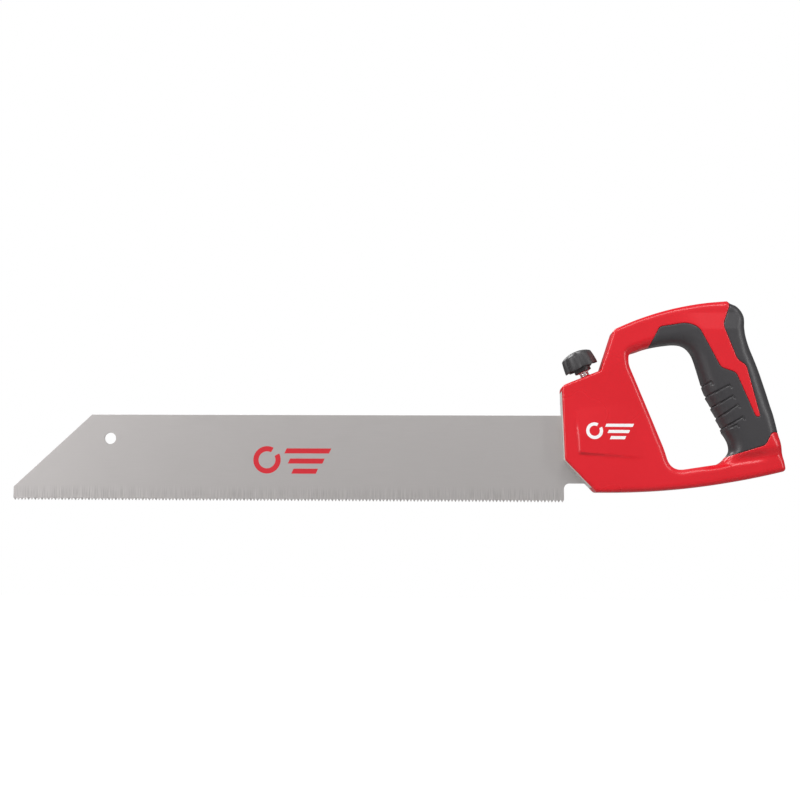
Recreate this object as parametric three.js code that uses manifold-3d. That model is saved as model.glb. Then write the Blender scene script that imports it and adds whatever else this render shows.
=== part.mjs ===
// An 18-inch saw for plastic pipe, with a blade that changes without tools.
//
// A toothed spring-steel blade slides tang first into the front of a pistol-shaped handle. Inside the
// handle two aluminium cheeks flank the tang, and two dowel pins catch the open slots in its end. A knob
// on top of the handle turns a steel stud through a trapped nut, and the stud pushes a foot down on the
// tang's upper edge, which holds the blade back against the pins. The handle is two moulded shells with
// a soft rubber grip moulded onto each, drawn together by six screws from the right-hand side.
//
// Millimetres. X runs from the blade's tip to the back of the grip, Y across the blade's thickness and
// Z up from the tooth tips. "Left" is the -Y side, as the hand that holds the saw sees it. The outlines
// below are drawn with X = 0 at the heel of the tooth line, and the last lines move the whole saw so that
// its origin is the bottom centre of its bounding box.

import * as THREE from 'three';
import { mergeVertices } from 'three/addons/utils/BufferGeometryUtils.js';
import Module from 'manifold-3d';

const wasm = await Module();
wasm.setup();

// ---------------------------------------------------------------- driving dimensions

const gap = 0.3;                      // air between separate pieces that touch on the real saw

const bladeLength = 457.2;            // 18 inches along the teeth
const bladeHeight = 71.4;
const bladeThickness = 1.2;
const teeth = 162;                    // 9 to the inch
const toothDepth = 1.5;
const tipFootHeight = 11;             // the short upright edge below the slanted tip
const tipSlantTop = -393;             // where the slanted tip meets the back of the blade
const hangHole = { x: -377, z: 51.5, radius: 4.75 };
const tangLength = 52;
const tangBottom = 15.5;
const heelRadius = 4.5;

const casingHalf = 12.5;              // half the thickness of the handle's body
const gripHalf = 15;                  // half the thickness of the grip
const rubberThickness = 2.5;
const casingEdge = 3;                 // rounding of the handle body's edges
const gripEdge = 7;                   // rounding of the grip's edges

const cheekHalf = 10;                 // the cheeks fill the handle out to here
const slotHalf = bladeThickness / 2 + gap;
const dowelRadius = 2.5;
const dowels = [{ name: 'lower', x: 40, z: 30 }, { name: 'upper', x: 40, z: 56 }];

const studRadius = 4;                 // M8
const footRadius = 5.5;
const clampEntry = { x: 18.6, z: 103.6 };
const clampTilt = THREE.MathUtils.degToRad(24);     // nearly square to the sloping top of the handle

const screwRadius = 2;
const screwHeadRadius = 3.8;
const screwSeat = 6;                  // how far right of the middle the screw heads bear
const screws = [
  [46, 98], [47, 131], [119, 150], [163, 37], [104, 20.3], [68, 22],
];

const red = { color: 0xc8101e, roughness: 0.4, metalness: 0 };
const rubber = { color: 0x3c3b3d, roughness: 0.75, metalness: 0 };
const black = { color: 0x2c2c2e, roughness: 0.55, metalness: 0 };
const bladeSteel = { color: 0xa9a6a4, roughness: 0.4, metalness: 1 };
const aluminium = { color: 0xc9c6c0, roughness: 0.45, metalness: 1 };
const brightSteel = { color: 0xc4c4c8, roughness: 0.3, metalness: 1 };

// ---------------------------------------------------------------- outlines

// A closed outline through corners [x, z, cut]. A corner with a cut is rounded by a curve that starts and
// ends that far from it. Corners cut less than sharpBelow stay sharp, so that an inset doesn't fold them.
function outline(corners, sharpBelow = 0, kind = THREE.Shape) {
  const path = new kind();
  const at = (i) => corners[(i + corners.length) % corners.length];
  corners.forEach(([x, z, cut = 0], i) => {
    const towards = ([px, pz]) => {
      const length = Math.hypot(px - x, pz - z);
      return [x + (px - x) * cut / length, z + (pz - z) * cut / length];
    };
    const draw = i === 0 ? 'moveTo' : 'lineTo';
    if (cut === 0 || cut < sharpBelow) {
      path[draw](x, z);
      return;
    }
    path[draw](...towards(at(i - 1)));
    path.quadraticCurveTo(x, z, ...towards(at(i + 1)));
  });
  path.closePath();
  return path;
}

const casingCorners = [
  [-2.1, 95.2, 3.5], [0, 34.5, 2], [25, 8.3, 1.5], [105, 8.3, 69],       // front, chamfer, belly
  [178.3, 26.1, 3.2], [169.8, 82.4, 46], [148, 136.5, 9],                // heel of the grip and its back
  [148, 156, 6], [141.8, 161.6, 2], [136.5, 163.6], [134.5, 165.7, 1.5], // horn over the web of the hand
  [85.8, 162.1, 42], [40.8, 141.8, 3], [29.6, 107.9, 1.5],               // top bar, riser, sloping top
];
const handHoleCorners = [
  [52.5, 113.4, 4], [80.2, 44, 4], [85.8, 25.3, 11], [127, 31.7, 4], [134.9, 40.5, 3],
  [134.9, 47.5, 4], [114.6, 91.5, 5], [103.3, 132.2, 16], [74, 128.8, 8], [53, 122.6, 4],
];
const gripCorners = [                                                    // the thick part round the hand
  [103.8, 130], [114.6, 91.5, 5], [134.9, 47.5, 4], [134.9, 40.5, 2], [150, 31, 4], [174, 36, 6],
  [169.8, 82.4, 40], [148, 136.5, 9], [148, 155, 6], [141, 160.5], [134, 161], [104, 155, 8],
];
const rubberCorners = [                     // what the rubber covers: it starts and ends in the hand hole
  [68, 120], [69.6, 127.4], [78.3, 144, 2.5], [101, 147.4, 5.5], [110, 143, 4], [126.8, 110, 3],
  [138.8, 106, 3], [154.2, 69.3, 2], [158.2, 69.8, 2], [147.3, 111.8, 3], [140.2, 116.6, 3],
  [129.4, 145.4, 4], [136, 163.5], [136, 175], [195, 175], [195, 57.3],
  [166.5, 57.3, 3], [161.2, 46.8, 3], [131.2, 37.4], [118, 37.4],
];
const cheekCorners = [
  [-1.95, 90.6], [0, 34.5], [21.5, 12], [58, 12], [58, 76], [42, 88], [37, 94], [31, 103.6],
];
const pocketCorners = [                                                  // hollows of the moulded shells
  [[61.5, 31], [76, 31], [64.5, 62], [61.5, 66]],
  [[57, 131.5], [58, 142], [80, 151], [106, 156], [108, 148], [97, 137], [72, 134.5]],
  [[117, 130], [122, 138], [138, 151], [141, 138], [158, 90], [166, 52], [143, 47]],
  [[77, 13.5], [96, 15.5], [96, 21.5], [80, 21]],
  [[112, 18.5], [152, 25], [154, 34], [141, 34], [128, 27.5], [112, 24.5]],
];

function casingShape(sharpBelow = 0) {
  const shape = outline(casingCorners, sharpBelow);
  shape.holes.push(outline(handHoleCorners, 0, THREE.Path));
  return shape;
}

// ---------------------------------------------------------------- solids

function solid(geometry) {
  const bare = geometry.clone();
  bare.deleteAttribute('normal');
  bare.deleteAttribute('uv');
  const merged = mergeVertices(bare, 1e-4);
  const mesh = new wasm.Mesh({
    numProp: 3,
    vertProperties: merged.attributes.position.array,
    triVerts: new Uint32Array(merged.index.array),
  });
  return new wasm.Manifold(mesh);
}

function geometryOf(manifold) {
  const { numProp, vertProperties, triVerts } = manifold.getMesh();
  const count = vertProperties.length / numProp;
  const positions = new Float32Array(count * 3);
  for (let i = 0; i < count; i += 1) {
    positions.set(vertProperties.subarray(i * numProp, i * numProp + 3), i * 3);
  }
  const geometry = new THREE.BufferGeometry();
  geometry.setAttribute('position', new THREE.BufferAttribute(positions, 3));
  geometry.setIndex(new THREE.BufferAttribute(new Uint32Array(triVerts), 1));
  geometry.computeVertexNormals();
  return geometry;
}

// A slab of an XZ outline from y = low to y = high. Its edges are rounded by edge, and grow widens it.
function slab(shape, low, high, { edge = 0, grow = 0, rounds = 3 } = {}) {
  const geometry = new THREE.ExtrudeGeometry(shape, {
    depth: high - low - 2 * edge,
    curveSegments: 6,
    bevelEnabled: true,
    bevelThickness: edge,
    bevelSize: edge,
    bevelOffset: grow - edge,
    bevelSegments: edge > 0 ? rounds : 0,
  });
  geometry.rotateX(Math.PI / 2);
  geometry.translate(0, high - edge, 0);
  return solid(geometry);
}

function block([x0, x1], [y0, y1], [z0, z1]) {
  const geometry = new THREE.BoxGeometry(x1 - x0, y1 - y0, z1 - z0);
  geometry.translate((x0 + x1) / 2, (y0 + y1) / 2, (z0 + z1) / 2);
  return solid(geometry);
}

// A turned solid about the local Z axis, from [radius, z] points that run upwards.
function turned(points, segments = 24) {
  const geometry = new THREE.LatheGeometry(points.map(([r, z]) => new THREE.Vector2(r, z)), segments);
  geometry.rotateX(Math.PI / 2);
  return geometry;
}

function rod(radius, low, high, segments = 24) {
  return turned([[0, low], [radius, low], [radius, high], [0, high]], segments);
}

// A round hole or peg across the handle, along Y.
function crosswise(radius, x, z, low, high, segments = 24) {
  const geometry = rod(radius, low, high, segments);
  geometry.rotateX(-Math.PI / 2);
  geometry.translate(x, 0, z);
  return solid(geometry);
}

// The clamp's own frame: Z runs up the stud, and z = 0 is the sloping top of the handle.
const clampFrame = new THREE.Matrix4().makeRotationY(-clampTilt).setPosition(clampEntry.x, 0, clampEntry.z);

function onClampAxis(geometry) {
  return solid(geometry.clone().applyMatrix4(clampFrame));
}

function everythingOn(side) {
  return block([-700, 400], side < 0 ? [-60, -gap / 2] : [gap / 2, 60], [-100, 300]);
}

function mesh(name, geometry, material) {
  const made = new THREE.Mesh(geometry, new THREE.MeshStandardMaterial(material));
  made.name = name;
  return made;
}

// ---------------------------------------------------------------- blade

function bladeGeometry() {
  const shape = new THREE.Shape();
  const pitch = bladeLength / teeth;
  shape.moveTo(-bladeLength, toothDepth);
  for (let tooth = 0; tooth < teeth; tooth += 1) {
    shape.lineTo(-bladeLength + (tooth + 0.5) * pitch, 0);
    shape.lineTo(-bladeLength + (tooth + 1) * pitch, toothDepth);
  }
  shape.lineTo(0, tangBottom - heelRadius);
  shape.absarc(heelRadius, tangBottom - heelRadius, heelRadius, Math.PI, Math.PI / 2, true);
  shape.lineTo(tangLength, tangBottom);
  dowels.forEach(({ x, z }) => {                     // slots open to the back, so the blade draws forward
    const clear = dowelRadius + gap;
    shape.lineTo(tangLength, z - clear);
    shape.lineTo(x, z - clear);
    shape.absarc(x, z, clear, -Math.PI / 2, Math.PI / 2, true);
    shape.lineTo(tangLength, z + clear);
  });
  shape.lineTo(tangLength, bladeHeight - 2);
  shape.quadraticCurveTo(tangLength, bladeHeight, tangLength - 2, bladeHeight);
  shape.lineTo(tipSlantTop, bladeHeight);
  shape.lineTo(-bladeLength + 1.4, tipFootHeight + 1.4);
  shape.quadraticCurveTo(-bladeLength, tipFootHeight, -bladeLength, tipFootHeight - 1.8);
  shape.closePath();
  const hole = new THREE.Path();
  hole.absarc(hangHole.x, hangHole.z, hangHole.radius, 0, Math.PI * 2);
  shape.holes.push(hole);
  const geometry = new THREE.ExtrudeGeometry(shape, {
    depth: bladeThickness,
    curveSegments: 8,
    bevelEnabled: false,
  });
  geometry.rotateX(Math.PI / 2);
  geometry.translate(0, bladeThickness / 2, 0);
  return geometry;
}

// ---------------------------------------------------------------- handle shells and rubber grips

// The outside of the closed handle, drawn in by inset.
function handleBody(inset = 0) {
  const body = slab(casingShape(1.45 * casingEdge), inset - casingHalf, casingHalf - inset, {
    edge: casingEdge - inset,
    grow: -inset,
  });
  const grip = slab(outline(gripCorners, 1.45 * gripEdge), inset - gripHalf, gripHalf - inset, {
    edge: gripEdge - inset,
    grow: -inset,
  });
  return body.add(grip);
}

function screwHoles(side) {
  const shank = screws.map(([x, z]) => crosswise(screwRadius + gap, x, z, -9, 30));
  const head = screws.map(([x, z]) => crosswise(screwHeadRadius + gap, x, z, screwSeat, 30));
  return wasm.Manifold.union(side < 0 ? shank : [...shank, ...head]);
}

function studHole() {
  return onClampAxis(rod(studRadius + 0.5, -10, 4));
}

function casingShell(side) {
  const covered = slab(outline(rubberCorners), -40, 40, { grow: gap });
  const bare = handleBody().subtract(covered);
  const pockets = pocketCorners.map((corners) => slab(outline(corners), -9.3, 9.3));
  const cheekRoom = slab(outline(cheekCorners), -cheekHalf - gap, cheekHalf + gap, { grow: gap });
  return bare.add(handleBody(rubberThickness + gap))
    .subtract(wasm.Manifold.union(pockets))
    .subtract(cheekRoom)
    .subtract(studHole())
    .subtract(screwHoles(side))
    .intersect(everythingOn(side));
}

function rubberGrip(side) {
  const covered = slab(outline(rubberCorners), -40, 40);
  return handleBody()
    .intersect(covered)
    .subtract(handleBody(rubberThickness))
    .intersect(everythingOn(side));
}

// ---------------------------------------------------------------- cheeks that hold the tang

const nut = { top: -6.5, bottom: -13, halfAcrossFlats: 6.5 };
const foot = { top: -26.5, travel: 6, underside: bladeHeight + gap };

function hexagon(halfAcrossFlats, low, high) {
  const geometry = rod(halfAcrossFlats / Math.cos(Math.PI / 6), low, high, 6);
  return geometry.rotateZ(Math.PI / 6);
}

function cheek(side) {
  const plate = slab(outline(cheekCorners), -cheekHalf, cheekHalf);
  const tangRoom = block([-10, tangLength + 1], [-slotHalf, slotHalf], [0, foot.underside]);
  const footBore = onClampAxis(rod(footRadius + gap, -45, foot.top + foot.travel + 1));
  const footRoom = footBore.intersect(block([0, 80], [-20, 20], [bladeHeight, 200]));
  const lightening = outline([[10, 34, 3], [27, 20, 3], [33, 20, 3], [33, 68, 3], [10, 68, 3]]);
  return plate
    .subtract(tangRoom)
    .subtract(footRoom)
    .subtract(onClampAxis(rod(studRadius + gap, -40, 10)))
    .subtract(onClampAxis(hexagon(nut.halfAcrossFlats + gap, nut.bottom - gap, nut.top + gap)))
    .subtract(wasm.Manifold.union(dowels.map(({ x, z }) => crosswise(dowelRadius + gap, x, z, -30, 30))))
    .subtract(slab(lightening, side < 0 ? -20 : 5, side < 0 ? -5 : 20))
    .intersect(everythingOn(side));
}

// ---------------------------------------------------------------- clamp: knob, stud, nut and foot

const knob = { hubBottom: 4.4, rimBottom: 7.7, radius: 14.1, lobes: 6, scallop: 1.7 };

function knobGeometry() {
  const { hubBottom, rimBottom, radius } = knob;
  const bore = studRadius + gap;
  const geometry = turned([
    [0, 18], [bore, 18], [bore, hubBottom], [7, hubBottom], [7, 12], [11.2, 12], [11.5, rimBottom],
    [radius, rimBottom], [radius - 0.4, 12.5], [radius - 1.1, 17.8], [radius - 2.4, 19.6], [9, 21], [5, 22.2], [0, 22.6],
  ], knob.lobes * 10);
  const position = geometry.attributes.position;
  for (let i = 0; i < position.count; i += 1) {      // press a scallop between each pair of lobes
    const x = position.getX(i);
    const y = position.getY(i);
    const r = Math.hypot(x, y);
    const valley = 0.5 - 0.5 * Math.cos(knob.lobes * Math.atan2(y, x));
    const share = THREE.MathUtils.smoothstep(r, 7.2, 12);
    const scale = r > 7.2 ? 1 - knob.scallop * valley ** 2 * share / r : 1;
    position.setXY(i, x * scale, y * scale);
  }
  return geometry;
}

function studGeometry() {
  return turned([
    [0, -29.5], [3.2, -29.5], [3.2, -28], [2.2, -28], [2.2, -25.8], [studRadius, -25], [studRadius, 17.5], [0, 17.5],
  ]);
}

function nutGeometry() {
  const blank = solid(hexagon(nut.halfAcrossFlats, nut.bottom, nut.top));
  return geometryOf(blank.subtract(solid(rod(studRadius + gap, -30, 10))));
}

// The foot is a round slug, cut level underneath where it meets the tang, with a socket for the stud's tip.
function footSolid() {
  const socket = [[0, -29.8], [3.5, -29.8], [3.5, -27.7], [2.5, -27.7], [2.5, -20], [0, -20]];
  return onClampAxis(rod(footRadius, -40, foot.top))
    .subtract(onClampAxis(turned(socket)))
    .intersect(block([0, 80], [-20, 20], [foot.underside, 200]));
}

// ---------------------------------------------------------------- screws

// A round-headed screw with a six-lobed recess, along Y with its head to the right.
function screwGeometry() {
  const seat = screwSeat + gap;
  const body = solid(turned([
    [0, -8], [screwRadius, -7], [screwRadius, seat], [screwHeadRadius, seat], [screwHeadRadius, seat + 1.6],
    [2.9, seat + 2.6], [0, seat + 2.8],
  ]));
  const recess = new THREE.Shape();
  const lobes = 6;
  for (let step = 0; step < lobes * 4; step += 1) {
    const angle = step / (lobes * 4) * Math.PI * 2;
    const radius = 1.7 + 0.3 * Math.cos(lobes * angle);
    recess[step ? 'lineTo' : 'moveTo'](radius * Math.cos(angle), radius * Math.sin(angle));
  }
  const socket = new THREE.ExtrudeGeometry(recess, { depth: 6, bevelEnabled: false });
  socket.translate(0, 0, seat + 0.9);
  const made = geometryOf(body.subtract(solid(socket)));
  return made.rotateX(-Math.PI / 2);
}

// ---------------------------------------------------------------- the saw

const handle = new THREE.Group();
[['left', -1], ['right', 1]].forEach(([name, side]) => {
  handle.add(
    mesh(`casing_${name}`, geometryOf(casingShell(side)), red),
    mesh(`grip_${name}`, geometryOf(rubberGrip(side)), rubber),
    mesh(`cheek_${name}`, geometryOf(cheek(side)), aluminium),
  );
});
dowels.forEach(({ name, x, z }) => {
  const pin = rod(dowelRadius, -cheekHalf + gap, cheekHalf - gap).rotateX(-Math.PI / 2);
  const dowel = mesh(`locating_pin_${name}`, pin, brightSteel);
  dowel.position.set(x, 0, z);
  handle.add(dowel);
});
screws.forEach(([x, z], i) => {
  const screw = mesh(`casing_screw_${i + 1}`, screwGeometry(), brightSteel);
  screw.position.set(x, 0, z);
  handle.add(screw);
});

const clamp = new THREE.Group();
clamp.applyMatrix4(clampFrame);
clamp.add(
  mesh('clamp_knob', knobGeometry(), black),
  mesh('clamp_stud', studGeometry(), brightSteel),
  mesh('clamp_nut', nutGeometry(), brightSteel),
);

const saw = new THREE.Group();
saw.add(
  mesh('blade', bladeGeometry(), bladeSteel),
  mesh('clamp_foot', geometryOf(footSolid()), brightSteel),
  handle,
  clamp,
);
const box = new THREE.Box3().setFromObject(saw);
saw.position.set(-(box.min.x + box.max.x) / 2, 0, -box.min.z);

export default saw;
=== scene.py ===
import math

import bmesh
import bpy
import numpy as np
from mathutils import Matrix, Vector
from mathutils.geometry import delaunay_2d_cdt
from mathutils.kdtree import KDTree


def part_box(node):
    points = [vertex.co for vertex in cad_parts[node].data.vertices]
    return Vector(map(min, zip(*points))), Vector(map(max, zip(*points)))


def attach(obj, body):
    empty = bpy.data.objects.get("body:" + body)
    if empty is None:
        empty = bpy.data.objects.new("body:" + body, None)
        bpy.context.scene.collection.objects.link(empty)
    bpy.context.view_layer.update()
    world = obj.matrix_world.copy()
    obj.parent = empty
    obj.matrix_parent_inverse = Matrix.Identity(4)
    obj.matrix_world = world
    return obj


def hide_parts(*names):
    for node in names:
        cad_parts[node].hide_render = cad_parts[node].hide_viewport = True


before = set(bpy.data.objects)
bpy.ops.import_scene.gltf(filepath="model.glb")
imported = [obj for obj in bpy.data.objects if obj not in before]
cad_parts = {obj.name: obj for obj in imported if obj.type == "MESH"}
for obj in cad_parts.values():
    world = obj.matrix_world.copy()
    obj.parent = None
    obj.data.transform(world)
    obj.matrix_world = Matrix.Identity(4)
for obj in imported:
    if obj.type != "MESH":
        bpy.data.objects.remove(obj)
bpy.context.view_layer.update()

MM = 0.001


# ---------------------------------------------------------------- blade
# One strip of spring steel, 1.2 mm thick, punched to shape, ground on both faces and lacquered.
# The teeth are cut 9 to the inch and bent left and right by turns. The tang has two open slots
# that drop over the dowels in the handle.

blade_length = 457.2                  # 18 inches along the teeth
tooth_pitch = 25.4 / 9
tooth_depth = 1.6
# the outlines below measure from the heel of the tooth line
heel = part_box("blade")[0].x + blade_length * MM


def spot(x, y, z):
    return (heel + x * MM, y * MM, z * MM)


def put(obj):
    bpy.context.scene.collection.objects.link(obj)
    return obj


def mesh_piece(name, points, faces):
    mesh = bpy.data.meshes.new(name)
    mesh.from_pydata([spot(*p) for p in points], [], [tuple(int(i) for i in f) for f in faces])
    mesh.update()
    return put(bpy.data.objects.new(name, mesh))


def plain_copy(obj):
    """The object's mesh as its modifiers leave it, with no modifier kept."""
    depsgraph = bpy.context.evaluated_depsgraph_get()
    mesh = bpy.data.meshes.new_from_object(obj.evaluated_get(depsgraph), depsgraph=depsgraph)
    obj.modifiers.clear()
    old = obj.data
    obj.data = mesh
    mesh.name = obj.name
    if old.users == 0:
        bpy.data.meshes.remove(old)
    return obj


def smooth(obj, degrees=30):
    obj.data.polygons.foreach_set("use_smooth", [True] * len(obj.data.polygons))
    obj.data.set_sharp_from_angle(angle=math.radians(degrees))
    obj.data.update()


def arc(x, z, radius, start, end, steps):
    turns = [math.radians(start + (end - start) * i / steps) for i in range(steps + 1)]
    return [(x + radius * math.cos(t), z + radius * math.sin(t)) for t in turns]


def slab(name, loop, holes, half, chamfer):
    """A flat sheet piece between y = -half and half, with a small chamfer round its edges."""
    loops = [loop] + holes
    flat = [p for ring in loops for p in ring]
    edges = []
    start = 0
    for ring in loops:
        edges += [(start + i, start + (i + 1) % len(ring)) for i in range(len(ring))]
        start += len(ring)
    verts, _, faces, *_ = delaunay_2d_cdt([Vector(p) for p in flat], edges, [], 0, 1e-6, False)
    outer = np.array(loop)
    inner = [np.array(h) for h in holes]
    keep = []
    for f in faces:
        c = np.mean([verts[i] for i in f], axis=0)[None]
        if inside_distance(c, outer)[0] > 0 and all(inside_distance(c, h)[0] < 0 for h in inner):
            (ax, az), (bx, bz), (cx, cz) = (verts[i] for i in f)
            turn = (bx - ax) * (cz - az) - (bz - az) * (cx - ax)
            keep.append(f if turn > 0 else f[::-1])
    n = len(verts)
    points = [(v.x, -half, v.y) for v in verts] + [(v.x, half, v.y) for v in verts]
    made = [tuple(f) for f in keep] + [tuple(i + n for i in reversed(f)) for f in keep]
    sides = {}
    for f in keep:
        for i, j in zip(f, f[1:] + f[:1]):
            sides[(i, j)] = True
    made += [(j, i, i + n, j + n) for i, j in sides if (j, i) not in sides]
    obj = mesh_piece(name, points, made)
    bevel = obj.modifiers.new("edge", "BEVEL")
    bevel.width = chamfer * MM
    bevel.segments = 2
    bevel.limit_method = "ANGLE"
    bevel.angle_limit = math.radians(50)
    return plain_copy(obj)


def inside_distance(points, loop):
    """Distance of each point from a closed, evenly stepped loop, positive inside it."""
    tree = KDTree(len(loop))
    for i, (x, z) in enumerate(loop):
        tree.insert((x, z, 0), i)
    tree.balance()
    near = np.array([tree.find((x, z, 0))[1] for x, z in points])
    distance = np.full(len(points), np.inf)
    for start in (near, near - 1):
        a = loop[start]
        edge = loop[(start + 1) % len(loop)] - a
        away = points - a
        along = np.clip((away * edge).sum(axis=1) / np.maximum((edge ** 2).sum(axis=1), 1e-12), 0, 1)
        distance = np.minimum(distance, np.linalg.norm(away - along[:, None] * edge, axis=1))
    a, b = loop, np.roll(loop, -1, axis=0)
    rise = np.where(a[:, 1] == b[:, 1], 1, b[:, 1] - a[:, 1])
    odd = np.zeros(len(points), bool)
    for first in range(0, len(points), 4000):
        x, z = points[first:first + 4000, 0:1], points[first:first + 4000, 1:2]
        passes = (a[:, 1] > z) != (b[:, 1] > z)
        crossing = a[:, 0] + (z - a[:, 1]) * (b[:, 0] - a[:, 0]) / rise
        odd[first:first + 4000] = (passes & (x < crossing)).sum(axis=1) % 2 == 1
    return np.where(odd, distance, -distance)


blade_loop = [(-blade_length, 1.9), (0, 1.9), (0, 11)]
blade_loop += arc(4.5, 11, 4.5, 180, 90, 8)
blade_loop += [(52, 15.5)]
for slot_z in (30, 56):
    blade_loop += [(52, slot_z - 2.8)] + arc(40, slot_z, 2.8, 270, 90, 12) + [(52, slot_z + 2.8)]
blade_loop += [(52, 70.4), (51, 71.4), (-393, 71.4), (-455.9, 12.3)]
blade_loop += arc(-455.2, 10.4, 2, 136, 180, 5)
blade = slab("blade", blade_loop, [arc(-377, 51.5, 4.75, 0, 354, 59)], 0.6, 0.12)


class Tree:
    """A node tree that is built one node at a time."""

    def __init__(self, tree):
        self.tree = tree

    def add(self, kind, inputs=None, **settings):
        node = self.tree.nodes.new(kind)
        for key, value in settings.items():
            setattr(node, key, value)
        for key, value in (inputs or {}).items():
            if isinstance(value, bpy.types.NodeSocket):
                self.tree.links.new(value, node.inputs[key])
            else:
                node.inputs[key].default_value = value
        return node

    def math(self, operation, a, b=None):
        inputs = {0: a} if b is None else {0: a, 1: b}
        return self.add("ShaderNodeMath", inputs, operation=operation).outputs[0]


def geometry_tree(name, **sizes):
    """An empty geometry tree with a named input for each size."""
    group = bpy.data.node_groups.new(name, "GeometryNodeTree")
    group.interface.new_socket("Geometry", in_out="INPUT", socket_type="NodeSocketGeometry")
    group.interface.new_socket("Geometry", in_out="OUTPUT", socket_type="NodeSocketGeometry")
    for label, value in sizes.items():
        kind = "NodeSocketInt" if isinstance(value, int) else "NodeSocketFloat"
        group.interface.new_socket(label, in_out="INPUT", socket_type=kind)
    tree = Tree(group)
    tree.inputs = tree.add("NodeGroupInput").outputs
    return tree


def run_tree(obj, tree, **sizes):
    """Runs the tree on obj with these sizes and leaves the result as a plain mesh."""
    modifier = obj.modifiers.new(tree.tree.name, "NODES")
    modifier.node_group = tree.tree
    for item in tree.tree.interface.items_tree:
        if item.in_out == "INPUT" and item.name in sizes:
            modifier[item.identifier] = sizes[item.name]
    return plain_copy(obj)


def steel_blade():
    material = bpy.data.materials.new("ground blade steel")
    material.use_nodes = True
    t = Tree(material.node_tree)
    shader = material.node_tree.nodes["Principled BSDF"]
    place = t.add("ShaderNodeTexCoord").outputs["Object"]
    lengthwise = t.add("ShaderNodeMapping", {"Vector": place, "Scale": (40, 40, 2500)}).outputs[0]
    grain = t.add("ShaderNodeTexNoise", {"Vector": lengthwise, "Scale": 1, "Detail": 3})
    upright = t.add("ShaderNodeMapping", {"Vector": place, "Scale": (1400, 60, 60)}).outputs[0]
    streak = t.add("ShaderNodeTexNoise", {"Vector": upright, "Scale": 1, "Detail": 2})
    cloud = t.add("ShaderNodeTexNoise", {"Vector": place, "Scale": 9, "Detail": 2})
    height = t.add("ShaderNodeSeparateXYZ", {0: place}).outputs["Z"]
    ground = t.add("ShaderNodeMapRange", {"Value": height, "From Min": 0.013, "From Max": 0.006})
    patchy = t.add("ShaderNodeMapRange", {"Value": cloud.outputs["Fac"], "From Min": 0.35, "From Max": 0.6,
                                          "To Min": 0.35, "To Max": 1.0})
    marks = t.math("MULTIPLY", t.math("SUBTRACT", streak.outputs["Fac"], 0.54), ground.outputs[0])
    marks = t.math("MULTIPLY", marks, patchy.outputs[0])
    lines = t.math("MULTIPLY", t.math("SUBTRACT", grain.outputs["Fac"], 0.5), 0.10)
    haze = t.math("MULTIPLY", t.math("SUBTRACT", cloud.outputs["Fac"], 0.5), 0.05)
    tone = t.math("ADD", t.math("ADD", lines, haze), t.math("MULTIPLY", marks, 1.1))
    tone = t.math("ADD", tone, 0.5)
    colour = t.add("ShaderNodeValToRGB", {"Fac": tone})
    colour.color_ramp.elements[0].position = 0.2
    colour.color_ramp.elements[0].color = (0.40, 0.38, 0.375, 1)
    colour.color_ramp.elements[1].position = 0.8
    colour.color_ramp.elements[1].color = (0.70, 0.67, 0.66, 1)
    material.node_tree.links.new(colour.outputs[0], shader.inputs["Base Color"])
    rough = t.math("ADD", t.math("MULTIPLY", grain.outputs["Fac"], 0.12), 0.36)
    material.node_tree.links.new(rough, shader.inputs["Roughness"])
    relief = t.math("ADD", grain.outputs["Fac"], t.math("MULTIPLY", marks, 2.0))
    bump = t.add("ShaderNodeBump", {"Height": relief, "Strength": 0.15, "Distance": 0.00005})
    material.node_tree.links.new(bump.outputs[0], shader.inputs["Normal"])
    shader.inputs["Metallic"].default_value = 0.85
    shader.inputs["Coat Weight"].default_value = 0.15
    shader.inputs["Coat Roughness"].default_value = 0.25
    return material


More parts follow.
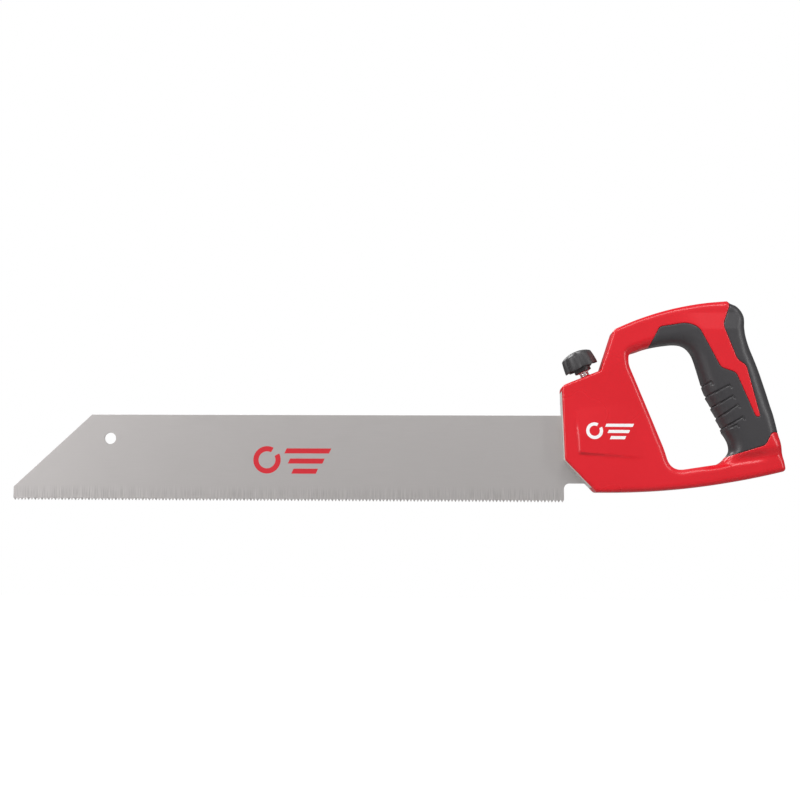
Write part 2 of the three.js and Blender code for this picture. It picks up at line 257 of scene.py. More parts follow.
def tooth_row(material):
    """Teeth along X: each is a block drawn in to a point, and every other one is turned about."""
    t = geometry_tree("tooth row", Count=162, Pitch=0.003, Depth=0.002, Thickness=0.001, Set=0.0002)
    size = t.inputs
    half = t.math("DIVIDE", size["Pitch"], 2.0)
    first = t.add("ShaderNodeCombineXYZ", {0: t.math("SUBTRACT", half, 0.4572), 2: 0.0})
    step = t.add("ShaderNodeCombineXYZ", {0: size["Pitch"]})
    row = t.add("GeometryNodeMeshLine", {"Count": size["Count"], "Start Location": first.outputs[0],
                                         "Offset": step.outputs[0]}, mode="OFFSET")
    block = t.add("ShaderNodeCombineXYZ", {0: size["Pitch"], 1: size["Thickness"], 2: size["Depth"]})
    cube = t.add("GeometryNodeMeshCube", {"Size": block.outputs[0]})
    place = t.add("ShaderNodeSeparateXYZ", {0: t.add("GeometryNodeInputPosition").outputs[0]})
    low = t.math("LESS_THAN", place.outputs["Z"], 0.0)
    narrow = t.math("SUBTRACT", 1.0, t.math("MULTIPLY", low, 0.93))
    bent = t.math("MULTIPLY", low, size["Set"])
    lifted = t.math("ADD", place.outputs["Z"], t.math("DIVIDE", size["Depth"], 2.0))
    near_side = t.math("LESS_THAN", place.outputs["Y"], 0.0)
    dipped = t.math("MULTIPLY", low, t.math("MULTIPLY", near_side, 0.00018))
    shaped = t.add("ShaderNodeCombineXYZ", {
        0: t.math("MULTIPLY", place.outputs["X"], narrow),
        1: t.math("ADD", t.math("MULTIPLY", place.outputs["Y"], 0.97), bent),
        2: t.math("ADD", lifted, dipped)})
    tooth = t.add("GeometryNodeSetPosition", {"Geometry": cube.outputs["Mesh"],
                                              "Position": shaped.outputs[0]})
    odd = t.math("MODULO", t.add("GeometryNodeInputIndex").outputs[0], 2.0)
    turn = t.add("ShaderNodeCombineXYZ", {2: t.math("MULTIPLY", odd, math.pi)})
    many = t.add("GeometryNodeInstanceOnPoints", {"Points": row.outputs["Mesh"],
                                                  "Instance": tooth.outputs[0],
                                                  "Rotation": turn.outputs[0]})
    at_heel = t.add("GeometryNodeTransform", {"Geometry": many.outputs[0], "Translation": (heel, 0, 0)})
    both = t.add("GeometryNodeJoinGeometry")
    t.tree.links.new(t.inputs["Geometry"], both.inputs[0])
    t.tree.links.new(at_heel.outputs[0], both.inputs[0])
    real = t.add("GeometryNodeRealizeInstances", {0: both.outputs[0]})
    faced = t.add("GeometryNodeSetMaterial", {"Geometry": real.outputs[0], "Material": material})
    t.add("NodeGroupOutput", {0: faced.outputs[0]})
    return t


blade_finish = steel_blade()
blade = run_tree(blade, tooth_row(blade_finish), Count=162, Pitch=tooth_pitch * MM,
                 Depth=(tooth_depth + 0.5) * MM, Thickness=1.1 * MM, Set=0.2 * MM)
smooth(blade, 20)
for face in blade.data.polygons:
    face.use_smooth = abs(face.normal.y) < 0.99
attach(blade, "blade")
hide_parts("blade")


# ---------------------------------------------------------------- handle shells
# Two moulded halves in glass-filled nylon, red with a satin gloss, that meet on the blade's plane.
# The front is a flat box round the cheeks with a shallow raised panel; behind the hand hole it
# swells into the grip, where a sloping facet under the top bar runs down to a crisp crease.

body_corners = [
    (-2.1, 95.2, 3.5), (0, 34.5, 2), (25, 8.3, 1.5), (105, 8.3, 69), (178.3, 26.1, 3.2),
    (169.8, 82.4, 46), (148, 136.5, 9), (148, 156, 6), (141.8, 161.6, 2), (136.5, 163.6, 1),
    (134.5, 165.7, 1), (85.8, 162.1, 42), (40.8, 141.8, 3), (29.6, 107.9, 1.5),
]
hand_hole_corners = [
    (52.5, 113.4, 4), (80.2, 44, 4), (85.8, 25.3, 11), (127, 31.7, 4), (134.9, 40.5, 3),
    (134.9, 47.5, 4), (114.6, 91.5, 5), (103.3, 132.2, 16), (74, 128.8, 8), (53, 122.6, 4),
]
rubber_corners = [
    (68, 120, 0), (69.6, 127.4, 0), (78.3, 144, 2.5), (101, 147.4, 5.5), (110, 143, 4), (126.8, 110, 3),
    (138.8, 106, 3), (154.0, 69.6, 1.6), (157.6, 69.9, 1.8), (147.3, 111.8, 3), (140.2, 116.6, 3),
    (129.4, 145.4, 4), (135.2, 160.6, 1), (136, 175, 0), (195, 175, 0), (195, 57.3, 0),
    (166.5, 57.3, 3), (161.2, 46.8, 3), (131.2, 37.4, 0), (118, 37.4, 0),
]
# how far each edge is rounded over, at places along it: [x, z, millimetres]
outer_rounding = np.array([
    (-1, 60, 1.8), (0, 93, 2.2), (12, 21, 1.8), (25, 9, 2.5), (60, 9, 4), (105, 13, 4), (150, 20, 4.5),
    (176, 27, 4), (176, 45, 7), (172, 60, 10), (165, 90, 12), (155, 118, 11), (148, 140, 9),
    (147, 153, 7), (135, 165, 5), (110, 163, 4.5), (80, 156, 4), (50, 146, 3.5), (41, 141, 3),
    (35, 125, 3), (30, 108, 2.2), (15, 102, 2.2),
])
hole_rounding = np.array([
    (52, 115, 3.3), (60, 95, 3.3), (68, 76, 3.3), (84, 34, 3.6), (95, 26, 3.6), (105, 28, 3.6),
    (116, 30, 3.6), (125, 31.3, 3.6), (131, 36, 6.5), (134, 46, 11), (122, 75, 12), (110, 105, 12),
    (101, 128, 11), (88, 130, 9), (70, 127.5, 8), (55, 122, 5),
])


def rounded(corners, step):
    """A closed loop through corners (x, z, cut), each corner eased over the length cut, in even steps."""
    points = []
    for i, (x, z, cut) in enumerate(corners):
        here = np.array((x, z), float)
        ends = []
        for other in (corners[i - 1], corners[(i + 1) % len(corners)]):
            way = np.array(other[:2], float) - here
            ends.append(here + way * cut / np.linalg.norm(way))
        for s in (np.linspace(0, 1, 25) if cut else [0.5]):
            points.append((1 - s) ** 2 * ends[0] + 2 * s * (1 - s) * here + s * s * ends[1])
    return even(np.array(points + points[:1]), step)[:-1]


def even(line, step):
    """The same line with points an even step apart."""
    run = np.concatenate([[0], np.cumsum(np.linalg.norm(np.diff(line, axis=0), axis=1))])
    places = np.linspace(0, run[-1], max(int(round(run[-1] / step)), 1) + 1)
    return np.column_stack([np.interp(places, run, line[:, k]) for k in (0, 1)])


def inward(loop):
    """Unit normals of an anticlockwise loop, pointing inwards."""
    way = np.roll(loop, -1, axis=0) - np.roll(loop, 1, axis=0)
    way /= np.maximum(np.linalg.norm(way, axis=1), 1e-9)[:, None]
    return np.column_stack([-way[:, 1], way[:, 0]])


def ease(value, low, high):
    s = np.clip((value - low) / (high - low), 0, 1)
    return s * s * (3 - 2 * s)


def spread(points, spots):
    """A smooth value everywhere from values at a few spots."""
    weight = 1 / (((points[:, None] - spots[:, :2]) ** 2).sum(axis=2) + 20) ** 2
    return (weight * spots[:, 2]).sum(axis=1) / weight.sum(axis=1)


def round_over(distance, radius):
    inner = radius - np.clip(distance, 0, radius)
    return radius - np.sqrt(np.maximum(radius ** 2 - inner ** 2, 0))


def half_thickness(points):
    """How far the handle's side stands from the blade's plane, before its edges are rounded."""
    x, z = points.T
    across = (x - 118) * 0.931 + (z - 140) * 0.364            # square to the grip's length
    above = z - 23.3 - (x - 94.6) * 0.157                     # how far above the crest of the lower bar
    swell = ease(across, -26, -2) * ease(above, 2.5, 12)
    facet = np.clip((155.5 - z) / 14, 0, 1)                   # slopes up out of the top bar
    height = 12.3 + 2.6 * swell * facet
    left = 8.7 + (70.5 - z) * 0.055                           # raised panel on the flat front
    bottom = 40.7 - (x - 12) * 0.08
    raised = np.clip((x - left) / 2.2, 0, 1) * np.clip((z - bottom + 1.8) / 1.8, 0, 1)
    raised *= np.clip((76 + (x - 12) * 0.1 - z) / 22, 0, 1) * np.clip((64 - x) / 50, 0, 1)
    dip = np.clip(above / 2, 0, 1) * ease(above, 10, 5) * ease(x, 110, 120) * ease(x, 166, 154)
    return height + 1.9 * raised - 1.3 * dip


def bevelled(distance, width):
    """A straight bevel with a crest that is only slightly rounded."""
    left = width - distance
    return 0.36 * (left + np.sqrt(left ** 2 + 0.4))


def side_surface(points, body, hole):
    depth = half_thickness(points)
    depth = depth - round_over(inside_distance(points, body), spread(points, outer_rounding))
    edge, reach = -inside_distance(points, hole), spread(points, hole_rounding)
    bevel = ease(reach, 7.5, 4.5)
    depth = depth - (1 - bevel) * round_over(edge, reach) - bevel * bevelled(edge, reach)
    return np.maximum(depth, 0.9)


def half_handle(name, belongs, step, grid, extra=None, lines=()):
    """Left half of whatever part of the handle belongs() picks out: side, rounded edges, parting face."""
    body = rounded(body_corners, step)
    hole = rounded(hand_hole_corners, step)
    seam = rounded(rubber_corners, step)
    flat = []
    edges = []

    def lay(points, closed):
        first = len(flat)
        flat.extend(points)
        count = len(points)
        last = count if closed else count - 1
        edges.extend((first + i, first + (i + 1) % count) for i in range(last))

    for loop in (body, hole, seam):
        lay(loop, True)
    for line in lines:
        lay(even(np.array(line, float), step), False)
    rings = []
    for loop, sign in ((body, 1), (hole, -1)):
        for depth in (0.15, 0.5, 1.1, 1.9, 2.9, 4.2, 5.6):
            ring = loop + inward(loop) * depth * sign
            clear = np.minimum(inside_distance(ring, body), -inside_distance(ring, hole))
            rings.append(ring[clear > depth - 0.04])
    low, high = body.min(axis=0), body.max(axis=0)
    rows = np.arange(low[1], high[1], grid * 0.866)
    mesh_points = [np.column_stack([np.arange(low[0] + (k % 2) * grid / 2, high[0], grid)] * 2)
                   for k in range(len(rows))]
    for row, z in zip(mesh_points, rows):
        row[:, 1] = z
    field = np.concatenate(mesh_points + ([extra] if extra is not None else []))
    clear = np.minimum(inside_distance(field, body), -inside_distance(field, hole))
    loose = np.concatenate(rings + [field[clear > 6.0]])
    loose = loose[np.abs(inside_distance(loose, seam)) > 1.0]
    for line in lines:
        path = even(np.array(line, float), step)
        near = np.min(np.linalg.norm(loose[:, None] - path, axis=2), axis=1)
        loose = loose[near > 0.45]
    beside = [seam + inward(seam) * offset for offset in (-0.75, -0.4, -0.15, 0.15, 0.4, 0.75)]
    beside = np.concatenate(beside)
    clear = np.minimum(inside_distance(beside, body), -inside_distance(beside, hole))
    beside = beside[clear > 0.12]
    flat.extend(loose)
    flat.extend(beside)
    verts, _, faces, *_ = delaunay_2d_cdt([Vector(p) for p in flat], edges, [], 0, 1e-4, False)
    points = np.array([tuple(v) for v in verts])
    faces = np.array([f for f in faces if len(f) == 3])
    middle = points[faces].mean(axis=1)
    keep = (inside_distance(middle, body) > 0) & (inside_distance(middle, hole) < 0)
    keep &= belongs(inside_distance(middle, seam))
    faces = faces[keep]
    a, b, c = (points[faces[:, k]] for k in range(3))
    turn = (b[:, 0] - a[:, 0]) * (c[:, 1] - a[:, 1]) - (b[:, 1] - a[:, 1]) * (c[:, 0] - a[:, 0])
    faces[turn < 0] = faces[turn < 0][:, ::-1]
    faces = faces[np.abs(turn) > 1e-7]
    used, faces = np.unique(faces, return_inverse=True)
    faces = faces.reshape(-1, 3)
    points = points[used]

    to_seam = inside_distance(points, seam)
    depth = side_surface(points, body, hole) - round_over(np.abs(to_seam), 0.9)
    arrows = np.concatenate([faces[:, [0, 1]], faces[:, [1, 2]], faces[:, [2, 0]]])
    known = {(int(i), int(j)) for i, j in arrows}
    rim = [(i, j) for i, j in known if (j, i) not in known]
    inwards = np.zeros_like(points)
    for i, j in rim:
        way = points[j] - points[i]
        normal = np.array((-way[1], way[0])) / max(np.linalg.norm(way), 1e-9)
        inwards[i] += normal
        inwards[j] += normal
    inwards /= np.maximum(np.linalg.norm(inwards, axis=1), 1e-9)[:, None]
    on_seam = (np.abs(to_seam) < 0.01)[:, None]
    points = points + inwards * on_seam * 0.2

    count = len(points)
    rim_points = sorted({i for pair in rim for i in pair})
    order = {i: 2 * count + k for k, i in enumerate(rim_points)}
    under = points + inwards * 0.1
    solid = [(x, -d, z) for (x, z), d in zip(points, depth)] + [(x, -0.08, z) for x, z in under]
    solid += [(points[i][0], -0.25, points[i][1]) for i in rim_points]
    made = [tuple(f) for f in faces] + [tuple(i + count for i in reversed(f)) for f in faces]
    for i, j in rim:
        made.append((j, i, order[i], order[j]))
        made.append((order[j], order[i], i + count, j + count))
    return solid, made


def mirrored(solid, faces):
    return [(x, -y, z) for x, y, z in solid], [tuple(reversed(f)) for f in faces]


def cylinder_y(x, z, radius, low, high, sides=48):
    """Points and faces of a round hole or peg across the handle."""
    ring = arc(x, z, radius, 0, 360 - 360 / sides, sides - 1)
    points = [(px, low, pz) for px, pz in ring] + [(px, high, pz) for px, pz in ring]
    faces = [tuple(range(sides)), tuple(range(2 * sides - 1, sides - 1, -1))]
    faces += [((i + 1) % sides, i, i + sides, (i + 1) % sides + sides) for i in range(sides)]
    return points, faces


def cut_away(obj, cutters):
    """Takes closed solids, clear of each other, out of obj."""
    points, faces = [], []
    for more, plan in cutters:
        start = len(points)
        points += more
        faces += [tuple(i + start for i in f) for f in plan]
    tool = mesh_piece("cutter", points, faces)
    shape = bmesh.new()
    shape.from_mesh(tool.data)
    bmesh.ops.recalc_face_normals(shape, faces=shape.faces)
    shape.to_mesh(tool.data)
    shape.free()
    modifier = obj.modifiers.new("cut", "BOOLEAN")
    modifier.operation = "DIFFERENCE"
    modifier.solver = "EXACT"
    modifier.object = tool
    plain_copy(obj)
    bpy.data.objects.remove(tool)


def moulded_plastic(name, dark, light, roughness, grain, grain_depth):
    """Coloured plastic with a faint spark-eroded mould texture and slightly uneven gloss."""
    material = bpy.data.materials.new(name)
    material.use_nodes = True
    t = Tree(material.node_tree)
    shader = material.node_tree.nodes["Principled BSDF"]
    place = t.add("ShaderNodeTexCoord").outputs["Object"]
    drift = t.add("ShaderNodeTexNoise", {"Vector": place, "Scale": 14, "Detail": 3})
    colour = t.add("ShaderNodeValToRGB", {"Fac": drift.outputs["Fac"]})
    colour.color_ramp.elements[0].position = 0.3
    colour.color_ramp.elements[0].color = (*dark, 1)
    colour.color_ramp.elements[1].position = 0.7
    colour.color_ramp.elements[1].color = (*light, 1)
    material.node_tree.links.new(colour.outputs[0], shader.inputs["Base Color"])
    fine = t.add("ShaderNodeTexNoise", {"Vector": place, "Scale": grain, "Detail": 2})
    rough = t.math("ADD", t.math("MULTIPLY", drift.outputs["Fac"], 0.08), roughness - 0.04)
    material.node_tree.links.new(rough, shader.inputs["Roughness"])
    bump = t.add("ShaderNodeBump", {"Height": fine.outputs["Fac"], "Strength": 0.3,
                                    "Distance": grain_depth * MM})
    material.node_tree.links.new(bump.outputs[0], shader.inputs["Normal"])
    return material


def in_shell(to_seam):
    return to_seam < 0


panel_lines = [
    [(8.7, 70.5), (10.3, 41.5)], [(11.7, 70.5), (13.3, 41.0)],
    [(9.5, 38.4), (62, 34.2)], [(13, 40.6), (62, 36.7)],
    [(112, 141.5), (134, 141.5)], [(106, 155.5), (134, 155.5)],
]
solid, plan = half_handle("shell", in_shell, 0.9, 1.3, lines=panel_lines)
casing_red = moulded_plastic("red nylon", (0.63, 0.003, 0.011), (0.67, 0.005, 0.015), 0.28, 2600, 0.010)
cheek_room = [(-3.5, 90.9), (-3.5, 34.3), (-0.3, 34.3), (21.3, 11.7), (58.3, 11.7), (58.3, 76.1),
              (40.3, 88.1), (36.3, 94.2), (30.7, 103.9), (-2.1, 90.9)]
stud_lean = math.radians(24)
stud_entry = (18.6, 103.6)


def along_stud(radius, low, high, sides=48):
    """Points and faces of a round solid about the stud's line, measured up from the sloping top."""
    points = []
    for height in (low, high):
        for k in range(sides):
            turn = 2 * math.pi * k / sides
            points.append(on_stud(radius * math.cos(turn), radius * math.sin(turn), height))
    faces = [tuple(range(sides - 1, -1, -1)), tuple(range(sides, 2 * sides))]
    faces += [(i, (i + 1) % sides, (i + 1) % sides + sides, i + sides) for i in range(sides)]
    return points, faces


def on_stud(x, y, z):
    c, s = math.cos(stud_lean), math.sin(stud_lean)
    return (stud_entry[0] + x * c - z * s, y, stud_entry[1] + x * s + z * c)


def prism(loop, low, high):
    n = len(loop)
    points = [(x, low, z) for x, z in loop] + [(x, high, z) for x, z in loop]
    faces = [tuple(range(n)), tuple(range(2 * n - 1, n - 1, -1))]
    faces += [((i + 1) % n, i, i + n, (i + 1) % n + n) for i in range(n)]
    return points, faces


screw_places = [(46, 98), (47, 131), (119, 150), (163, 37), (104, 20.3), (68, 22)]
for side, sign in (("left", -1), ("right", 1)):
    points, faces = (solid, plan) if sign < 0 else mirrored(solid, plan)
    shell = mesh_piece(f"casing_{side}", points, faces)
    cut_away(shell, [prism(cheek_room, -10.3, 10.3)])
    cut_away(shell, [along_stud(4.5, -12, 6)])
    if sign > 0:
        cut_away(shell, [cylinder_y(x, z, 4.1, 6.0, 30) for x, z in screw_places])
    shell.data.materials.clear()
    shell.data.materials.append(casing_red)
    smooth(shell, 38)
    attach(shell, "handle")
    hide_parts(f"casing_{side}")


# ---------------------------------------------------------------- rubber grips
# Soft black rubber moulded over the grip in one piece per shell, set into the red plastic with a
# fine line round it. The front wraps into the hand hole in finger ribs cut by five slanting grooves;
# a smooth palm strip runs up the back. The two areas join below the tip of the red wedge.

finger_grooves = [
    (107.5, 92.3, 118.7, 98.7), (109.5, 83.4, 133.3, 95.8), (112.5, 73.3, 135.8, 86.9),
    (116.8, 63.7, 139.6, 79.5), (120.5, 55.8, 143.4, 69.7), (134.0, 61.0, 138.6, 63.4),
]


def groove_depth(points):
    """How far the rubber is pushed in (positive) or stands out (negative) at each point."""
    depth = np.zeros(len(points))
    for x0, z0, x1, z1 in finger_grooves:
        for start, end, deep in (((x0, z0), (x1, z1), 1.0), ((x1, z1), (x1 + 1.4, z1 - 2.4), 0.8)):
            way = np.array(end) - start
            length = np.linalg.norm(way)
            way = way / length
            away = points - start
            along = np.clip(away @ way, 0, length)
            gap = np.linalg.norm(away - along[:, None] * way, axis=1)
            depth = np.maximum(depth, deep * np.exp(-(gap / 0.55) ** 2))
    for x0, z0, x1, z1 in finger_grooves:
        way = np.array((x1 - x0, z1 - z0))
        length = np.linalg.norm(way)
        way = way / length
        along = (points - (x0, z0)) @ way
        below = -(points - (x0, z0)) @ np.array((-way[1], way[0]))
        rib = np.clip(below / 1.2, 0, 1) * np.exp(-(np.maximum(below, 0) / 4.5) ** 2)
        depth -= 0.7 * rib * ease(along, length - 2, length - 14)
    return depth


def in_rubber(to_seam):
    return to_seam > 0


rib_x, rib_z = np.meshgrid(np.arange(112, 146, 0.45), np.arange(50, 102, 0.45))
rib_field = np.column_stack([rib_x.ravel() + 0.22 * (np.arange(rib_x.size) % 2), rib_z.ravel()])
solid, plan = half_handle("grip", in_rubber, 0.6, 1.0, extra=rib_field)
grip_rubber = moulded_plastic("black rubber", (0.032, 0.030, 0.033), (0.040, 0.038, 0.041), 0.40, 1900, 0.03)
for side, sign in (("left", -1), ("right", 1)):
    points, faces = (solid, plan) if sign < 0 else mirrored(solid, plan)
    grip = mesh_piece(f"grip_{side}", points, faces)
    mesh = grip.data
    count = len(mesh.vertices)
    place = np.empty(count * 3)
    mesh.vertices.foreach_get("co", place)
    place = place.reshape(-1, 3)
    normal = np.empty(count * 3)
    mesh.vertices.foreach_get("normal", normal)
    normal = normal.reshape(-1, 3)
    flat = np.column_stack([(place[:, 0] - heel) / MM, place[:, 2] / MM])
    push = groove_depth(flat) * (np.abs(place[:, 1]) > 0.2 * MM)
    place -= normal * push[:, None] * MM
    place[:, 1] = np.clip(place[:, 1], -14.98 * MM, 14.98 * MM)
    mesh.vertices.foreach_set("co", place.ravel())
    mesh.materials.append(grip_rubber)
    smooth(grip, 50)
    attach(grip, "handle")
    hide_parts(f"grip_{side}")


# ---------------------------------------------------------------- cheeks, dowels and nut
# Two die-cast aluminium cheeks fill the front of the handle and leave a slot just wider than the
# tang. Their machined front edges show between the red shells. Steel dowels cross the slot, and a
# hexagon nut sits in a pocket under the sloping top.

def cast_aluminium():
    material = bpy.data.materials.new("cast aluminium")
    material.use_nodes = True
    t = Tree(material.node_tree)
    shader = material.node_tree.nodes["Principled BSDF"]
    place = t.add("ShaderNodeTexCoord").outputs["Object"]
    skin = t.add("ShaderNodeTexNoise", {"Vector": place, "Scale": 700, "Detail": 4})
    milled = t.add("ShaderNodeMapping", {"Vector": place, "Scale": (60, 60, 1500)}).outputs[0]
    lines = t.add("ShaderNodeTexNoise", {"Vector": milled, "Scale": 1, "Detail": 2})
    tone = t.math("ADD", t.math("MULTIPLY", skin.outputs["Fac"], 0.4),
                  t.math("MULTIPLY", lines.outputs["Fac"], 0.6))
    colour = t.add("ShaderNodeValToRGB", {"Fac": tone})
    colour.color_ramp.elements[0].position = 0.3
    colour.color_ramp.elements[0].color = (0.66, 0.63, 0.59, 1)
    colour.color_ramp.elements[1].position = 0.7
    colour.color_ramp.elements[1].color = (0.84, 0.81, 0.77, 1)
    material.node_tree.links.new(colour.outputs[0], shader.inputs["Base Color"])
    material.node_tree.links.new(t.math("ADD", t.math("MULTIPLY", skin.outputs["Fac"], 0.2), 0.3),
                                 shader.inputs["Roughness"])
    bump = t.add("ShaderNodeBump", {"Height": tone, "Strength": 0.3, "Distance": 0.00004})
    material.node_tree.links.new(bump.outputs[0], shader.inputs["Normal"])
    shader.inputs["Metallic"].default_value = 0.3
    return material


def plated_steel():
    material = bpy.data.materials.new("zinc plated steel")
    material.use_nodes = True
    t = Tree(material.node_tree)
    shader = material.node_tree.nodes["Principled BSDF"]
    place = t.add("ShaderNodeTexCoord").outputs["Object"]
    cloud = t.add("ShaderNodeTexNoise", {"Vector": place, "Scale": 400, "Detail": 3})
    colour = t.add("ShaderNodeValToRGB", {"Fac": cloud.outputs["Fac"]})
    colour.color_ramp.elements[0].position = 0.3
    colour.color_ramp.elements[0].color = (0.78, 0.78, 0.76, 1)
    colour.color_ramp.elements[1].position = 0.7
    colour.color_ramp.elements[1].color = (0.92, 0.92, 0.92, 1)
    material.node_tree.links.new(colour.outputs[0], shader.inputs["Base Color"])
    material.node_tree.links.new(t.math("ADD", t.math("MULTIPLY", cloud.outputs["Fac"], 0.2), 0.16),
                                 shader.inputs["Roughness"])
    shader.inputs["Metallic"].default_value = 1.0
    return material


cheek_metal = cast_aluminium()
plated = plated_steel()
for node in ("cheek_left", "cheek_right"):
    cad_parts[node].data.materials.clear()
    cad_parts[node].data.materials.append(cheek_metal)
for node in ("locating_pin_lower", "locating_pin_upper", "clamp_nut", "clamp_foot"):
    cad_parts[node].data.materials.clear()
    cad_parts[node].data.materials.append(plated)


# ---------------------------------------------------------------- clamp stud
# An M8 steel stud with a rolled thread, zinc plated. It is moulded into the knob, screws down
# through the nut and ends in a turned neck that swivels in the foot.

def stud_tree(material):
    """A rod whose radius follows a thread: a ridge that climbs one pitch in each turn."""
    t = geometry_tree("rolled thread", Radius=0.004, Length=0.04, Pitch=0.00125, Depth=0.0007,
                      Low=0.0, Lean=0.4, HeadX=0.0, HeadZ=0.0)
    size = t.inputs
    rows = t.math("ROUND", t.math("DIVIDE", t.math("MULTIPLY", size["Length"], 10.0), size["Pitch"]))
    rod = t.add("GeometryNodeMeshCylinder", {"Vertices": 40, "Side Segments": rows,
                                             "Radius": size["Radius"], "Depth": size["Length"]})
    place = t.add("ShaderNodeSeparateXYZ", {0: t.add("GeometryNodeInputPosition").outputs[0]})
    x, y, z = place.outputs
    climb = t.math("SUBTRACT", t.math("DIVIDE", z, size["Pitch"]),
                   t.math("DIVIDE", t.math("ARCTAN2", y, x), 2 * math.pi))
    saw = t.math("FRACT", climb)
    ridge = t.math("MULTIPLY", t.math("ABSOLUTE", t.math("SUBTRACT", saw, 0.5)), 2.0)
    flank = t.add("ShaderNodeMapRange", {"Value": ridge, "From Min": 0.1, "From Max": 0.9})
    cut = t.math("DIVIDE", size["Depth"], size["Radius"])
    reach = t.math("SUBTRACT", 1.0, t.math("MULTIPLY", flank.outputs[0], cut))
    end = t.math("SUBTRACT", t.math("DIVIDE", size["Length"], 2.0), t.math("ABSOLUTE", z))
    taper = t.add("ShaderNodeMapRange", {"Value": end, "From Min": 0.0, "From Max": size["Depth"],
                                         "To Min": 0.84, "To Max": 1.0})
    reach = t.math("MINIMUM", reach, taper.outputs[0])
    shaped = t.add("ShaderNodeCombineXYZ", {0: t.math("MULTIPLY", x, reach),
                                            1: t.math("MULTIPLY", y, reach), 2: z})
    moved = t.add("GeometryNodeSetPosition", {"Geometry": rod.outputs["Mesh"],
                                              "Position": shaped.outputs[0]})
    middle = t.math("ADD", size["Low"], t.math("DIVIDE", size["Length"], 2.0))
    rise = t.add("ShaderNodeCombineXYZ", {2: middle})
    lifted = t.add("GeometryNodeTransform", {"Geometry": moved.outputs[0], "Translation": rise.outputs[0]})
    lean = t.add("ShaderNodeCombineXYZ", {1: t.math("MULTIPLY", size["Lean"], -1.0)})
    head = t.add("ShaderNodeCombineXYZ", {0: size["HeadX"], 2: size["HeadZ"]})
    set_up = t.add("GeometryNodeTransform", {"Geometry": lifted.outputs[0], "Translation": head.outputs[0],
                                             "Rotation": lean.outputs[0]})
    both = t.add("GeometryNodeJoinGeometry")
    t.tree.links.new(t.inputs["Geometry"], both.inputs[0])
    t.tree.links.new(set_up.outputs[0], both.inputs[0])
    real = t.add("GeometryNodeRealizeInstances", {0: both.outputs[0]})
    faced = t.add("GeometryNodeSetMaterial", {"Geometry": real.outputs[0], "Material": material})
    t.add("NodeGroupOutput", {0: faced.outputs[0]})
    return t


def turned(name, profile, sides=64):
    """A closed round solid about the stud's line from (radius, height) points that run upwards."""
    points, faces, rings = [], [], []
    for radius, height in profile:
        if radius == 0:
            rings.append([len(points)] * sides)
            points.append(on_stud(0, 0, height))
        else:
            rings.append(list(range(len(points), len(points) + sides)))
            points += [on_stud(radius * math.cos(2 * math.pi * k / sides),
                               radius * math.sin(2 * math.pi * k / sides), height) for k in range(sides)]
    for low, high in zip(rings, rings[1:]):
        for k in range(sides):
            n = (k + 1) % sides
            face = [low[k], low[n], high[n], high[k]]
            faces.append(tuple(dict.fromkeys(face)))
    return mesh_piece(name, points, faces)


stud = turned("clamp_stud", [(0, -29.5), (2.9, -29.5), (3.2, -29.2), (3.2, -28.3), (2.9, -28), (2.2, -28),
                             (2.2, -25.9), (3.3, -25.2), (3.3, -24.4), (0, -24.4)])
entry = spot(stud_entry[0], 0, stud_entry[1])
stud = run_tree(stud, stud_tree(plated), Radius=4 * MM, Length=42 * MM, Pitch=1.25 * MM, Depth=0.65 * MM,
                Low=-24.6 * MM, Lean=stud_lean, HeadX=entry[0], HeadZ=entry[2])
smooth(stud, 40)
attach(stud, "knob")
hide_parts("clamp_stud")


# ---------------------------------------------------------------- clamp knob
# A six-lobed star knob in black glass-filled nylon, moulded round the stud. The underside is cored
# out to a rim and a hub, joined by webs, and the hub holds a bright threaded insert.

def lobed(turn, depth):
    valley = 0.5 - 0.5 * math.cos(6 * turn)
    return depth * valley ** 2.4


def knob_mesh():
    outside = [(14.0, 7.7, 1.0), (14.1, 8.2, 1.0), (14.1, 9.5, 1.0), (13.8, 12.5, 1.0), (13.4, 15.5, 1.0),
               (13.0, 17.9, 1.0), (12.8, 18.6, 0.97), (12.2, 19.3, 0.9), (11.2, 20.0, 0.75), (9.4, 20.9, 0.4),
               (7.2, 21.7, 0.12), (5, 22.2, 0), (2.6, 22.5, 0), (0, 22.6, 0)]
    inside = [(0, 16.5, 0), (4.6, 16.5, 0), (7.4, 16.4, 0), (9.0, 16.0, 0.4), (11.0, 15.2, 0.9),
              (11.8, 14.0, 1.0), (12.3, 9.5, 1.0), (12.5, 8.1, 1.0), (12.9, 7.7, 1.0)]
    sides = 144
    points, faces, rings = [], [], []
    for radius, height, share in inside + outside:
        if radius == 0:
            rings.append([len(points)] * sides)
            points.append(on_stud(0, 0, height))
            continue
        rings.append(list(range(len(points), len(points) + sides)))
        for k in range(sides):
            turn = 2 * math.pi * k / sides
            r = radius - lobed(turn, 1.9) * share
            lift = 0.9 * lobed(turn, 1.0) if height < 9 else 0
            points.append(on_stud(r * math.cos(turn), r * math.sin(turn), height + lift))
    for low, high in zip(rings, rings[1:]):
        for k in range(sides):
            n = (k + 1) % sides
            faces.append(tuple(dict.fromkeys([low[k], low[n], high[n], high[k]])))
    return points, faces


def joined(name, *parts):
    points, faces = [], []
    for more, plan in parts:
        start = len(points)
        points += more
        faces += [tuple(i + start for i in f) for f in plan]
    return mesh_piece(name, points, faces)


def web(turn, half, inner, outer, low, high):
    c, s = math.cos(turn), math.sin(turn)
    points = []
    for z in (low, high):
        for r, w in ((inner, -half), (outer, -half), (outer, half), (inner, half)):
            points.append(on_stud(r * c - w * s, r * s + w * c, z))
    return points, [(3, 2, 1, 0), (4, 5, 6, 7), (0, 1, 5, 4), (1, 2, 6, 5), (2, 3, 7, 6), (3, 0, 4, 7)]


